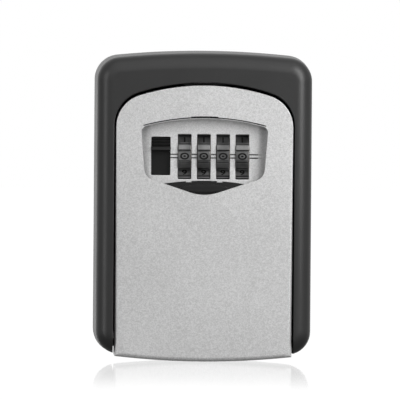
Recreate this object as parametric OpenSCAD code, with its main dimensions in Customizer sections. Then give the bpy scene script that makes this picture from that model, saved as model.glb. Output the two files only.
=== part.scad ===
// Wall-mounted key safe with four number wheels.
// X runs to the right seen from the front, Y runs towards the wall, Z runs up.
// The wall face of the housing lies on Y = 0. Heights are written from the foot of the door,
// and on_wall() lowers each piece so that the origin is the centre of the wall screws.

/* [Case] */
// Width over the surround
case_w = 83; // [81:0.5:88]
// Height from the foot of the door to the crown of the surround
case_h = 118; // [116:0.5:122]
// Depth from the wall to the front of the surround
case_d = 38; // [38:0.5:42]
// Radius of the crown of the surround
crown_r = 325; // [250:5:400]
// Radius of the corners of the surround
case_corner_r = 9.5; // [9:0.25:10]
// Height of the lower ends of the surround above the foot of the door
arm_foot = 1.75; // [1.5:0.25:3]
// Radius of the rounded front edge of the surround
edge_r = 6; // [5:0.25:6]
// Inward lean of the walls of the surround from back to front
draft = 0.6; // [0.5:0.1:1]

/* [Door] */
// Width of the door
door_w = 67.4; // [67:0.1:68]
// Height of the door
door_h = 105.1; // [104.5:0.1:105.2]
// Radius of the arched top of the door
door_arch_r = 82; // [78:1:90]
// Radius of the upper corners of the door
door_corner_r = 12.5; // [12:0.25:13]
// Radius of the curved foot of the door
door_foot_r = 303; // [290:1:400]
// Gap between the door and the surround at the sides
side_gap = 0.65; // [0.5:0.05:0.8]
// Gap between the door and the surround at the top
top_gap = 1.1; // [0.9:0.05:1.2]

/* [Number wheels] */
// Number of wheels
wheels = 4; // [4:1:4]
// Distance between two wheels
wheel_pitch = 7.33; // [7.33:0.01:7.4]
// Radius over the ridges of a wheel
wheel_r = 11; // [10.8:0.05:11]
// Thickness of a wheel
wheel_t = 4.8; // [4.7:0.05:4.85]
// Numbers on a wheel
digits = 10; // [10:1:10]
// Distance that the hubs shift when the code is set
hub_shift = 1.1; // [1:0.05:1.1]

/* [Latch and shutter] */
// Travel of the open slider
latch_travel = 5; // [4.6:0.1:5]
// Travel of the shutter
shutter_travel = 23.5; // [22:0.5:24]
// Travel of the code change lever
lever_travel = 4; // [4:0.1:4]

/* [Wall fixing] */
// Distance between the wall screws across
wall_dx = 38; // [30:1:44]
// Distance between the wall screws upwards
wall_dz = 60; // [50:1:60]
// Diameter of the wall screw holes
wall_hole_d = 4.8; // [4:0.1:5.5]

/* [Hidden] */
$fn = 48;

// running clearance of pins and sleeves, and a clearance between fitted covers
run = 0.05;
fit = 0.1;
e = 0.01;

// height of the centre of the wall screws
wall_z = case_h - 58;

// surround and housing
bumper_t = 2.6;
bumper_front_t = 3.6;
bumper_edge = [for (a = [90:-18:0]) [draft + edge_r * (1 - sin(a)), edge_r * (1 - cos(a))]];
wall_t = 2;
back_t = 2.5;
housing_inset = bumper_t + fit;
housing_front = -case_d + bumper_front_t + fit;

// door, measured from the front of the surround
skin_front = -case_d + 0.6;
skin_t = 2;
skin_back = skin_front + skin_t;
door_wall_t = 1.7;
door_edge = 1;
door_half = door_w / 2;
opening_half = door_half + side_gap;

// hinge along the foot of the door
hinge_y = -15;
hinge_z = 9.5;
hinge_r = 1.5;
cheek_in = opening_half + 0.1;
door_back = -9.8;
foot_back = -8.2;

// window in the door
window_top = case_h - 25.6;
window_arch_r = 87.8;
window_half = 24.2;
window_foot_half = 22.74;
window_foot = case_h - 47.9;
window_point = case_h - 55.4;

// panel behind the window
panel_front = skin_front + 5;
panel_t = 1.6;
panel_back = panel_front + panel_t;
panel_half = 27.5;
panel_foot = 59.2;
panel_top = case_h - 22;
tray_t = 1.7;

// axle and wheels
dial_z = case_h - 39.85;
dial_y = panel_front - 1.5 + wheel_r;
axle_r = 1.5;
sleeve_r = 3.2;
gate_r = 7.4;
spline_r = 4.9;
spline_root_r = 4.2;
pad_r = wheel_r - 0.3;
groove_r = wheel_r - 0.9;
first_wheel_x = -0.17 - wheel_pitch;
wheel_x = [for (i = [0:wheels - 1]) first_wheel_x + i * wheel_pitch];
dial_window_w = 5.15;
dial_window_foot = case_h - 48.3;
dial_window_top = case_h - 31.5;
axle_left = -25.3;
axle_right = 27;
left_lug = [-24.5, -22.5];
right_lug = [24.4, 26];
gate_w = 2.4;

// two engraved index lines beside the numbers
index_x = [-13, 23.4];

// slider and latch
slider_x = -16.57;
slider_window_w = 7.3;
slider_window_foot = case_h - 47.2;
slider_window_top = case_h - 32.6;
slider_front = panel_back + 0.2;
slider_back = slider_front + 1.4;
latch_back = slider_back + 1.2;
latch_left = -21.5;
latch_leg_right = -11.6;
latch_right = [19.8, 24];
latch_leg_foot = 70.3;
crossbar_foot = case_h - 24.4;
crossbar_top = case_h - 19.5;
tongue_half = 8;
tongue_top = case_h - 8.6;
fence_foot = dial_z + sleeve_r + 0.25 + latch_travel;
strike_foot = case_h - 12;
strike_top = case_h - 5;
rivet_x = [slider_x - 2.9, slider_x + 2.9];
rivet_z = case_h - 27;
spring_shelf_t = 1.4;
latch_spring_x = [-18.6, 21.9];
latch_spring_y = (slider_back + latch_back) / 2;

// mechanism cover
cover_t = 1.4;
cover_front = door_back - cover_t;
cover_foot = 57.8;
cover_post_r = 2.4;
cover_posts = [[27.6, case_h - 23.4], [29, 55]];
panel_ears = [[29.85, 62.5], [29.85, 86]];

// shutter
shutter_front = skin_back + 0.2;
shutter_t = 1;
shutter_half = 25.5;
shutter_top = case_h - 49.15;
shutter_foot = window_point - 0.3 - shutter_travel;
shutter_arch_r = 100;
rail_foot = shutter_foot - 2.8;

// code change lever: its wedge face leans by wedge_slope for each millimetre of height
wedge_slope = hub_shift / lever_travel;
wedge_x = -13.2;
lever_left = -16.4;
collar_r = 5;

// Lowers a piece so that the centre of the wall screws is the origin.
module on_wall() {
    translate([0, 0, -wall_z]) children();
}

// Box between two corners given per axis.
module block(x, y, z) {
    translate([x[0], y[0], z[0]]) cube([x[1] - x[0], y[1] - y[0], z[1] - z[0]]);
}

// Front-view outline as a slab between two depths.
module slab(y) {
    translate([0, y[1], 0]) rotate([90, 0, 0]) linear_extrude(y[1] - y[0]) children();
}

// Round pin along X.
module pin_x(x, r, y = dial_y, z = dial_z) {
    translate([x[0], y, z]) rotate([0, 90, 0]) cylinder(h = x[1] - x[0], r = r);
}

// Round pin along Y.
module pin_y(y, r, x, z) {
    translate([x, y[1], z]) rotate([90, 0, 0]) cylinder(h = y[1] - y[0], r = r);
}

// Round pin along Z.
module pin_z(z, r, x, y) {
    translate([x, y, z[0]]) cylinder(h = z[1] - z[0], r = r);
}

// Outline in the YZ plane as a bar along X.
module bar_x(x) {
    translate([x[0], 0, 0]) rotate([90, 0, 90]) linear_extrude(x[1] - x[0]) children();
}

// Both sides of the safe.
module both_sides() {
    children();
    mirror([1, 0, 0]) children();
}

// Points along an arc.
function arc(c, r, a0, a1, n) = [
    for (i = [0:n]) let (a = a0 + (a1 - a0) * i / n) [c[0] + r * cos(a), c[1] + r * sin(a)]
];

// Right, crown and left of an arch that has round shoulders.
function arch(half, top, top_r, corner_r) = let (
    cx = half - corner_r,
    rise = sqrt(pow(top_r - corner_r, 2) - cx * cx),
    cz = top - top_r + rise,
    a = atan2(rise, cx)
) concat(
    arc([cx, cz], corner_r, 0, a, 9),
    arc([0, top - top_r], top_r, a, 180 - a, 14),
    arc([-cx, cz], corner_r, 180 - a, 180, 9)
);

// Points of the rounding of radius r at corner b between neighbours a and c.
function rounded(a, b, c, r, n = 6) = let (
    u = (a - b) / norm(a - b),
    v = (c - b) / norm(c - b),
    half = acos(u * v) / 2,
    centre = b + (u + v) / norm(u + v) * r / sin(half),
    p = b + u * r / tan(half) - centre,
    q = b + v * r / tan(half) - centre,
    a0 = atan2(p[1], p[0]),
    turn = atan2(p[0] * q[1] - p[1] * q[0], p * q)
) arc(centre, r, a0, a0 + turn, n);

// Outline of the surround, or of what lies inside it by inset.
module case_outline(inset = 0) {
    half = case_w / 2 - inset;
    r = case_corner_r - inset;
    foot = arm_foot + inset;
    polygon(concat(
        arch(half, case_h - inset, crown_r - inset, r),
        arc([r - half, foot + r], r, 180, 270, 8),
        arc([half - r, foot + r], r, 270, 360, 8)
    ));
}

// Outline of the door, or of what lies inside it by inset.
module door_outline(inset = 0) {
    half = door_half - inset;
    r = door_foot_r - inset;
    swing = asin(half / r);
    polygon(concat(
        arch(half, door_h - inset, door_arch_r - inset, door_corner_r - inset),
        arc([0, door_foot_r], r, 270 - swing, 270 + swing, 12)
    ));
}

// Opening of the surround in which the door stands.
module opening_outline() {
    polygon(concat(
        arch(opening_half, door_h + top_gap, door_arch_r + top_gap, door_corner_r + side_gap),
        [[-opening_half, -5], [opening_half, -5]]
    ));
}

// Window of the door: arched top, leaning sides and a shallow point at the bottom.
module window_outline() {
    lift = window_arch_r - sqrt(pow(window_arch_r, 2) - pow(window_half, 2));
    shoulder = [window_half, window_top - lift];
    hip = [window_foot_half, window_foot];
    point = [0, window_point];
    lean = atan2(window_half, window_arch_r - lift);
    along_arch = [shoulder[0] - 5 * cos(lean), shoulder[1] + 5 * sin(lean)];
    right = rounded(hip, shoulder, along_arch, 2.5);
    low_right = rounded(point, hip, shoulder, 4.5);
    crown_a = acos(21.6 / window_arch_r);
    crown = arc([0, window_top - window_arch_r], window_arch_r, crown_a, 180 - crown_a, 16);
    keel = rounded([-hip[0], hip[1]], point, hip, 17, 8);
    polygon(concat(
        low_right,
        right,
        crown,
        [for (i = [len(right) - 1:-1:0]) [-right[i][0], right[i][1]]],
        [for (i = [len(low_right) - 1:-1:0]) [-low_right[i][0], low_right[i][1]]],
        keel
    ));
}

// Self-tapping screw along Y: its head lies behind the clamped face and its tip points forward.
module screw_y(x, z, face, length, r = 1.1, head_r = 2, head_t = 1.2) {
    difference() {
        union() {
            pin_y([face - length, face + head_t / 2], r, x, z);
            pin_y([face, face + head_t], head_r, x, z);
        }
        slot = face + head_t - 0.5;
        block([x - head_r - 1, x + head_r + 1], [slot, face + head_t + 1], [z - 0.3, z + 0.3]);
        block([x - 0.3, x + 0.3], [slot, face + head_t + 1], [z - 1.2, z + 1.2]);
    }
}

// Helical compression spring along Z: its first and last turns are closed.
module coil_z(length, turns, mean_r, wire_r) {
    sides = 6;
    steps = 14 * turns;
    closed = 2 * wire_r + 0.1;
    rise = length - 2 * wire_r;
    function lift(n) =
        n < 1 ? closed * n
        : n > turns - 1 ? rise - closed * (turns - n)
        : closed + (rise - 2 * closed) * (n - 1) / (turns - 2);
    points = [
        for (i = [0:steps]) let (n = turns * i / steps)
            for (j = [0:sides - 1]) let (b = 360 * j / sides, r = mean_r + wire_r * cos(b))
                [r * cos(360 * n), r * sin(360 * n), wire_r + lift(n) + wire_r * sin(b)]
    ];
    faces = concat(
        [[for (j = [0:sides - 1]) j]],
        [[for (j = [sides - 1:-1:0]) steps * sides + j]],
        [
            for (i = [0:steps - 1])
                for (j = [0:sides - 1])
                    let (k = (j + 1) % sides)
                        [i * sides + j, (i + 1) * sides + j, (i + 1) * sides + k, i * sides + k]
        ]
    );
    polyhedron(points, faces);
}

module rear_housing() {
    color("dimgray") on_wall() difference() {
        union() {
            difference() {
                slab([housing_front, 0]) case_outline(housing_inset);
                slab([housing_front - 1, -back_t]) case_outline(housing_inset + wall_t);
                block([-opening_half, opening_half], [housing_front - 1, -back_t], [-e, hinge_z + 5]);
            }
            both_sides()
                intersection() {
                    slab([-20, -back_t]) case_outline(housing_inset);
                    block([cheek_in, case_w / 2], [-20, -back_t], [0, hinge_z + 5]);
                }
            intersection() {
                slab([-33, -14]) case_outline(housing_inset);
                block([-14, 14], [-33, -14], [strike_top, case_h]);
            }
        }
        for (dx = [-1, 1])
            for (dz = [-1, 1])
                pin_y([-back_t - 1, 1], wall_hole_d / 2, dx * wall_dx / 2, wall_z + dz * wall_dz / 2);
        pin_x([-case_w, case_w], hinge_r + 0.02, hinge_y, hinge_z);
        both_sides()
            for (z = [30, 85])
                pin_x([30, case_w / 2], 1.25, -8, z);
        for (x = [-9, 9])
            pin_z([strike_top - 1, strike_top + 1.9], 1.1, x, -22);
    }
}

module bumper_cover() {
    color([0.19, 0.19, 0.2]) on_wall() difference() {
        hull() {
            slab([-0.1, 0]) case_outline(0);
            for (s = bumper_edge)
                slab([-case_d + s[1], -case_d + s[1] + 0.1]) case_outline(s[0]);
        }
        slab([-case_d - 1, 1]) opening_outline();
        slab([-case_d + bumper_front_t, 1]) case_outline(bumper_t);
        both_sides()
            for (z = [30, 85])
                pin_x([case_w / 2 - bumper_t - 1, case_w / 2 - 0.6], 1.1, -8, z);
    }
}

module bumper_screws() {
    inside = case_w / 2 - housing_inset - wall_t;
    color("silver") on_wall()
        both_sides()
            for (z = [30, 85])
                difference() {
                    union() {
                        pin_x([inside - 0.5, case_w / 2 - 0.8], 1.1, -8, z);
                        pin_x([inside - 1.2, inside], 2.2, -8, z);
                    }
                    block([inside - 2, inside - 0.8], [-11, -5], [z - 0.3, z + 0.3]);
                }
}

module latch_strike() {
    foot_top = strike_top;
    leg = [slider_back - 2, slider_back - 0.3];
    color("silver") on_wall() difference() {
        union() {
            block([-12, 12], leg, [strike_foot, foot_top]);
            block([-12, 12], [leg[0], -18], [foot_top - 1.7, foot_top]);
        }
        for (x = [-9, 9])
            pin_z([foot_top - 3, foot_top + 1], 1.25, x, -22);
    }
}

module strike_screws() {
    face = strike_top - 1.7;
    color("silver") on_wall()
        for (x = [-9, 9])
            difference() {
                union() {
                    pin_z([face - 0.5, strike_top + 1.7], 1.1, x, -22);
                    pin_z([face - 1.2, face], 2.1, x, -22);
                }
                block([x - 0.3, x + 0.3], [-25, -19], [face - 2, face - 0.8]);
            }
}

module hinge_pin() {
    color("silver") on_wall() pin_x([-36.8, 36.8], hinge_r, hinge_y, hinge_z);
}

module door_shell() {
    color([0.78, 0.79, 0.8]) on_wall() difference() {
        union() {
            hull() {
                slab([skin_front + door_edge, skin_back]) door_outline(0);
                slab([skin_front, skin_back]) door_outline(door_edge);
            }
            intersection() {
                difference() {
                    slab([skin_back - e, foot_back]) door_outline(0);
                    slab([skin_front, 0]) door_outline(door_wall_t);
                }
                union() {
                    block([-40, 40], [skin_front, door_back], [-1, door_h + 1]);
                    block([-40, 40], [skin_front, foot_back], [-1, 3]);
                }
            }
            both_sides() {
                intersection() {
                    pin_x([door_half - 4.5, door_half], 4, hinge_y, hinge_z);
                    slab([skin_front, 0]) door_outline(0);
                }
                for (p = panel_ears)
                    pin_y([skin_back - e, panel_front], 2.25, p[0], p[1]);
                for (p = cover_posts)
                    pin_y([skin_back - e, cover_front], cover_post_r, p[0], p[1]);
                block([25.8, 27.3], [skin_back - e, skin_back + 2.2], [rail_foot, panel_foot - 0.5]);
                block([24.3, 27.3], [skin_back + 1.5, skin_back + 2.2], [rail_foot, panel_foot - 0.5]);
                block([18, 27.3], [skin_back - e, skin_back + 2.2], [rail_foot, shutter_foot - 0.3]);
            }
        }
        slab([skin_front - 1, skin_back + 1]) window_outline();
        block([-tongue_half - 0.6, tongue_half + 0.6], [slider_back - 0.5, latch_back + 0.5],
            [door_h - 6, door_h + 2]);
        pin_x([-case_w, case_w], hinge_r + run, hinge_y, hinge_z);
        both_sides() {
            for (p = panel_ears)
                pin_y([skin_back + 0.2, panel_front + 1], 1.1, p[0], p[1]);
            for (p = cover_posts)
                pin_y([cover_front - 8, cover_front + 1], 1.1, p[0], p[1]);
        }
    }
}

module dial_panel() {
    color([0.75, 0.76, 0.77]) on_wall() difference() {
        union() {
            block([-panel_half, panel_half], [panel_front, panel_back], [panel_foot, 91.4]);
            block([-24, 24], [panel_front, panel_back], [91, panel_top]);
            both_sides() {
                block([panel_half - tray_t, panel_half], [skin_back, panel_front + e], [panel_foot, 91.4]);
                for (p = panel_ears)
                    block([panel_half - e, p[0] + 1.9], [panel_front, panel_back], [p[1] - 2.4, p[1] + 2.4]);
            }
            for (lug = [left_lug, right_lug])
                block(lug, [panel_back - e, dial_y + 3.5], [dial_z - 3.6, dial_z + 3.6]);
            for (x = latch_spring_x)
                block([x - 2.6, x + 2.6], [panel_back - e, latch_back + 1.4],
                    [panel_foot, panel_foot + spring_shelf_t]);
        }
        for (x = wheel_x)
            block([x - dial_window_w / 2, x + dial_window_w / 2], [panel_front - 1, panel_back + 1],
                [dial_window_foot, dial_window_top]);
        block([slider_x - slider_window_w / 2, slider_x + slider_window_w / 2],
            [panel_front - 1, panel_back + 1], [slider_window_foot, slider_window_top]);
        for (z = [dial_z - 0.65, dial_z + 0.65])
            block(index_x, [panel_front - 1, panel_front + 0.4], [z - 0.16, z + 0.16]);
        pin_x([-30, 30], axle_r + 0.02);
        both_sides()
            for (p = panel_ears)
                pin_y([panel_front - 1, panel_back + 1], 1.25, p[0], p[1]);
    }
}

module panel_screws() {
    color("silver") on_wall()
        for (side = [-1, 1])
            for (p = panel_ears)
                screw_y(side * p[0], p[1], panel_back, panel_t + 2.4);
}

module mechanism_cover() {
    color([0.35, 0.35, 0.37]) on_wall() difference() {
        union() {
            intersection() {
                slab([cover_front, door_back]) door_outline(door_wall_t + 0.2);
                union() {
                    block([-40, 40], [cover_front, door_back], [cover_foot, case_h]);
                    both_sides() block([25.6, 40], [cover_front, door_back], [52, cover_foot + e]);
                }
            }
            block([-31.4, 31.4], [-33, cover_front + e], [cover_foot, cover_foot + 1.1]);
            for (x = [-8, 15])
                pin_y([cover_front - 1, cover_front + e], 0.9, x, 64);
        }
        block([lever_left - 0.4, lever_left + 2], [cover_front - 1, 0], [65.6, 66.2 + 3 + lever_travel + 0.6]);
        both_sides()
            for (p = cover_posts)
                pin_y([cover_front - 1, 0], 1.25, p[0], p[1]);
    }
}

module cover_screws() {
    color("silver") on_wall()
        for (side = [-1, 1])
            for (p = cover_posts)
                screw_y(side * p[0], p[1], door_back, 8);
}

module shutter() {
    back = shutter_front + shutter_t;
    color([0.12, 0.12, 0.13]) on_wall() difference() {
        union() {
            slab([shutter_front, back]) intersection() {
                translate([0, shutter_top - shutter_arch_r]) circle(r = shutter_arch_r, $fn = 360);
                translate([-shutter_half, shutter_foot])
                    square([2 * shutter_half, shutter_top - shutter_foot + 1]);
            }
            slab([shutter_front - 1.4, shutter_front + e])
                intersection() {
                    translate([0, shutter_top - 2.85 - 26.8]) circle(r = 28.3, $fn = 180);
                    translate([0, shutter_top - 2.85 + 26.8]) circle(r = 28.3, $fn = 180);
                }
        }
        for (x = [-5.9, 5.9])
            block([x - 1.05, x + 1.05], [shutter_front - 1, back + 1], [shutter_top - 0.6, shutter_top + 1]);
    }
}

module open_slider() {
    ridge = [slider_window_top - 5.2, slider_window_top - 3.7];
    proud = panel_front - 1.5;
    color([0.1, 0.1, 0.11]) on_wall() difference() {
        union() {
            block([latch_left, latch_leg_right], [slider_front, slider_back],
                [latch_leg_foot, case_h - 25.6]);
            bar_x([slider_x - slider_window_w / 2 + 0.1, slider_x + slider_window_w / 2 - 0.1])
                polygon([
                    [slider_front + e, ridge[0]],
                    [proud + 0.3, ridge[0]],
                    [proud, ridge[0] + 0.3],
                    [proud, ridge[1] - 0.3],
                    [proud + 0.3, ridge[1]],
                    [panel_front + 0.4, slider_window_top - 0.2],
                    [slider_front + e, slider_window_top - 0.2],
                ]);
        }
        for (x = rivet_x)
            pin_y([slider_front - 1, slider_back + 1], 1.25, x, rivet_z);
    }
}

module latch_plate() {
    y = [slider_back, latch_back];
    color("silver") on_wall() difference() {
        union() {
            block([latch_left, latch_leg_right], y, [latch_leg_foot, crossbar_top]);
            block(latch_right, y, [latch_leg_foot, crossbar_top]);
            block([latch_left, latch_right[1]], y, [crossbar_foot, crossbar_top]);
            block([-tongue_half, tongue_half], y, [crossbar_foot, tongue_top]);
            for (x = wheel_x) {
                block([x + 2.6, x + 4.8], [latch_back - e, dial_y + 1], [crossbar_foot, crossbar_foot + 1.6]);
                block([x + 2.6, x + 4.8], [dial_y - 1, dial_y + 1], [fence_foot, crossbar_foot + e]);
            }
        }
        for (x = rivet_x)
            pin_y([slider_back - 1, latch_back + 1], 1.25, x, rivet_z);
    }
}

module latch_rivets() {
    color("silver") on_wall()
        for (x = rivet_x) {
            pin_y([slider_front, latch_back + 0.3], 1.2, x, rivet_z);
            pin_y([latch_back, latch_back + 0.6], 1.9, x, rivet_z);
        }
}

module latch_springs() {
    shelf = panel_foot + spring_shelf_t;
    color("silver") on_wall()
        for (x = latch_spring_x)
            translate([x, latch_spring_y, shelf])
                coil_z(latch_leg_foot - shelf, 6, 1.7, 0.25);
}

module dial_axle() {
    color("silver") on_wall() difference() {
        union() {
            pin_x([left_lug[0] - 0.1, axle_right], axle_r);
            pin_x([axle_left, left_lug[0]], axle_r + 0.9);
        }
        difference() {
            pin_x([right_lug[1], right_lug[1] + 0.6], axle_r + 1);
            pin_x([right_lug[1] - 1, right_lug[1] + 1], axle_r - 0.35);
        }
    }
}

module axle_clip() {
    color("silver") on_wall() difference() {
        pin_x([right_lug[1] + 0.05, right_lug[1] + 0.55], 2.9);
        pin_x([right_lug[1] - 1, right_lug[1] + 1], axle_r - 0.33);
        block([right_lug[1] - 1, right_lug[1] + 1], [dial_y - 1, dial_y + 1], [dial_z - 4, dial_z]);
    }
}

// Profile of one tenth of a wheel: ridge, groove, number pad and groove.
function wheel_step(a) = concat(
    arc([0, 0], wheel_r, a - 5, a + 5, 2),
    [groove_r * [cos(a + 6.2), sin(a + 6.2)], groove_r * [cos(a + 8), sin(a + 8)]],
    arc([0, 0], pad_r, a + 9.2, a + 26.8, 3),
    [groove_r * [cos(a + 28), sin(a + 28)], groove_r * [cos(a + 29.8), sin(a + 29.8)]]
);

// Star of ten teeth that locks a hub to its wheel.
module spline(grow = 0) {
    step = 360 / digits;
    polygon([
        for (i = [0:digits - 1])
            for (p = [[-7, spline_root_r], [-5, spline_r], [5, spline_r], [7, spline_root_r]])
                (p[1] + grow) * [cos(i * step + p[0] + sign(p[0]) * grow * 4),
                    sin(i * step + p[0] + sign(p[0]) * grow * 4)]
    ]);
}

// Number wheel: a number pad faces forward, and the hub's teeth enter it from the right.
module dial_wheel(i) {
    half = wheel_t / 2;
    color([0.55, 0.55, 0.57]) on_wall() translate([wheel_x[i], dial_y, dial_z]) rotate([90, 0, 90])
        difference() {
            translate([0, 0, -half]) linear_extrude(wheel_t)
                polygon([for (k = [0:digits - 1]) each wheel_step(18 + k * 360 / digits)]);
            translate([0, 0, -half - 1]) cylinder(h = wheel_t + 2, r = sleeve_r + 0.08);
            translate([0, 0, half - 1]) linear_extrude(2) spline(0.12);
        }
}

// Gated hub: sleeve on the axle, teeth, and the flange with its gate on top and a blind notch behind.
module dial_hub(i) {
    color([0.85, 0.7, 0.4]) on_wall() translate([wheel_x[i], dial_y, dial_z]) rotate([90, 0, 90])
        difference() {
            union() {
                translate([0, 0, -2.48]) cylinder(h = wheel_pitch - 0.02, r = sleeve_r);
                translate([0, 0, 1.5]) linear_extrude(1.1) spline();
                translate([0, 0, 2.5]) cylinder(h = 1.2, r = gate_r);
            }
            translate([0, 0, -4]) cylinder(h = 12, r = axle_r + run);
            for (turn = [0, -90])
                rotate(turn) difference() {
                    translate([-gate_w / 2, 0, 1.4]) cube([gate_w, gate_r + 1, 4]);
                    cylinder(h = 10, r = sleeve_r);
                }
        }
}

module dial_wheel_1() { dial_wheel(0); }
module dial_wheel_2() { dial_wheel(1); }
module dial_wheel_3() { dial_wheel(2); }
module dial_wheel_4() { dial_wheel(3); }
module dial_hub_1() { dial_hub(0); }
module dial_hub_2() { dial_hub(1); }
module dial_hub_3() { dial_hub(2); }
module dial_hub_4() { dial_hub(3); }

// Front-view wedge to the left of the leaning face, between two heights.
module wedge_side(left, z, clear = 0) {
    polygon([
        [left, z[0]],
        [wedge_x - wedge_slope * (z[0] - dial_z) - clear, z[0]],
        [wedge_x - wedge_slope * (z[1] - dial_z) - clear, z[1]],
        [left, z[1]],
    ]);
}

module shift_collar() {
    right = wheel_x[0] - 2.53;
    shoulder = wheel_x[0] - wheel_t / 2 - hub_shift - 0.3;
    color([0.85, 0.7, 0.4]) on_wall() difference() {
        union() {
            pin_x([-16, shoulder], collar_r);
            pin_x([shoulder - e, right], sleeve_r - 0.1);
        }
        slab([dial_y - 10, dial_y + 10]) wedge_side(-20, [dial_z - 7, dial_z + 7], -0.04);
        pin_x([-17, right + 1], axle_r + run);
    }
}

module change_lever() {
    y = [dial_y - 4, -12];
    knob = [66.2, 69.2];
    color("gold") on_wall() difference() {
        union() {
            slab(y) wedge_side(lever_left, [71.4, 84.6], 0.01);
            block([lever_left, lever_left + 1.6], [-16, -8.4], knob);
            block([lever_left, lever_left + 1.6], [y[0], y[1]], [knob[0], 72]);
        }
        block([-20, 0], [dial_y - axle_r - 0.15, dial_y + axle_r + 0.15],
            [dial_z - axle_r - lever_travel - 0.2, dial_z + axle_r + 0.2]);
    }
}

module hub_spring() {
    left = wheel_x[wheels - 1] + wheel_pitch - 2.5 + 0.05;
    color("silver") on_wall()
        translate([left, dial_y, dial_z]) rotate([0, 90, 0])
            coil_z(right_lug[0] - 0.05 - left, 4, 2.3, 0.25);
}

module detent_spring() {
    top = dial_z + 2;
    color("silver") on_wall() difference() {
        union() {
            block([wheel_x[0] - 2, wheel_x[wheels - 1] + 2], [cover_front - 0.35, cover_front - 0.05], [62, 67]);
            for (x = wheel_x)
                bar_x([x - 1.7, x + 1.7])
                    polygon([
                        [cover_front - 0.35, 66.9],
                        [cover_front - 0.05, 66.9],
                        [dial_y + pad_r + 0.45, dial_z - 1.5],
                        [dial_y + pad_r + 0.35, dial_z],
                        [dial_y + pad_r + 0.8, top],
                        [dial_y + pad_r + 0.5, top],
                        [dial_y + pad_r + 0.05, dial_z],
                        [dial_y + pad_r + 0.15, dial_z - 1.5],
                    ]);
        }
        for (x = [-8, 15])
            pin_y([cover_front - 1, cover_front + 1], 0.95, x, 64);
    }
}

rear_housing();
bumper_cover();
bumper_screws();
latch_strike();
strike_screws();
hinge_pin();
door_shell();
dial_panel();
panel_screws();
mechanism_cover();
cover_screws();
shutter();
open_slider();
latch_plate();
latch_rivets();
latch_springs();
dial_axle();
axle_clip();
dial_wheel_1();
dial_wheel_2();
dial_wheel_3();
dial_wheel_4();
dial_hub_1();
dial_hub_2();
dial_hub_3();
dial_hub_4();
shift_collar();
change_lever();
hub_spring();
detent_spring();
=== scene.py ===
"""Wall-mounted key safe with four number wheels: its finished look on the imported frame.

Sizes are in millimetres, with X across, Y towards the wall and Z up from the foot of the door.
spot() turns them into metres in the shared frame.
"""
import math

import bmesh
import bpy
from mathutils import Euler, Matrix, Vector


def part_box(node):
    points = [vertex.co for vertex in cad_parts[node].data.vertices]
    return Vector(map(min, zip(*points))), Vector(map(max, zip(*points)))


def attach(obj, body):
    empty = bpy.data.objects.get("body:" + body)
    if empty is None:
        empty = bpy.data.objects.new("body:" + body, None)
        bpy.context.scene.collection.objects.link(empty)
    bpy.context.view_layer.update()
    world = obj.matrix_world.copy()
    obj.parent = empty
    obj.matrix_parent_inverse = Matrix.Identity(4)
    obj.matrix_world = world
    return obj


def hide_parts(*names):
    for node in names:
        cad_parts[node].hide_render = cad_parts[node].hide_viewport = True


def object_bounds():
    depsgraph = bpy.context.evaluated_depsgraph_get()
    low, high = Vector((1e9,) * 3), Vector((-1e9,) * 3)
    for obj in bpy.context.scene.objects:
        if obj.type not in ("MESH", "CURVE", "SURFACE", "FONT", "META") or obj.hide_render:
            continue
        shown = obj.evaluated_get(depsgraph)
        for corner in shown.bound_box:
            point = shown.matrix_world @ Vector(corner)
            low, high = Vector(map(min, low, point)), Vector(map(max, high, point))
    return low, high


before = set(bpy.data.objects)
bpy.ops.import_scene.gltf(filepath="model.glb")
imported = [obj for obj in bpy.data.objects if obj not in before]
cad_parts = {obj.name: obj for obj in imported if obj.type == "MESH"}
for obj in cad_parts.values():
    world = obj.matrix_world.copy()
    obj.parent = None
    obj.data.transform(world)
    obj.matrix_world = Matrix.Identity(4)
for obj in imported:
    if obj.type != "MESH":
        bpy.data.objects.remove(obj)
cad_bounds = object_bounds()

MM = 0.001
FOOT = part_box("door_shell")[0].z


def spot(x, y, z):
    """Point of the shared frame for a place given in millimetres."""
    return Vector((x * MM, y * MM, z * MM + FOOT))


def extent(node):
    """Lowest and highest corner of a CAD piece in millimetres."""
    return [Vector((c.x / MM, c.y / MM, (c.z - FOOT) / MM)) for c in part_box(node)]


# ---------------------------------------------------------------- sizes

case_low, case_high = extent("bumper_cover")
door_low, door_high = extent("door_shell")
panel_low, panel_high = extent("dial_panel")
slider_low, slider_high = extent("open_slider")
shutter_low, shutter_high = extent("shutter")
pin_low, pin_high = extent("hinge_pin")
pin_mid = (pin_low + pin_high) / 2
cover_high = extent("mechanism_cover")[1]
wheel_boxes = [extent(f"dial_wheel_{i}") for i in range(1, 5)]

OVERLAP = 0.1
SIDES = (-1, 1)

# surround
CROWN_R = 325
CASE_CORNER_R = 9.5
EDGE_R = 6
DRAFT = 0.6
SURROUND_WALL = 2.6
SURROUND_FRONT = 3.6
LIP = 0.35
OPENING_FOOT = -8

# door
SKIN = 2
SKIN_BACK = door_low.y + SKIN
DOOR_WALL = 1.7
DOOR_ARCH_R = 82
DOOR_CORNER_R = 12.5
DOOR_FOOT_R = 303
SIDE_GAP = 0.65
TOP_GAP = 1.1
WALL_BACK = -9.8
FOOT_WALL = 3
SIDE_EDGE = 0.35
FOOT_EDGE = 1.7
FOOT_ZONE = (5, 2.4)
BARREL_R = 4
BARREL_X = (4.5, 0.2)
PIN_HOLE_R = 1.55
LATCH_SLOT_HALF = 8.6
LATCH_SLOT_Y = (slider_high.y - 0.5, slider_high.y + 1.7)

# posts behind the door, as x and z, with the backs they reach
PANEL_POSTS = [(29.85, 62.5), (29.85, 86)]
PANEL_POST_R = 2.25
COVER_POSTS = [(27.6, 94.6), (29, 55)]
COVER_POST_R = 2.4
COVER_T = 1.4

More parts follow.
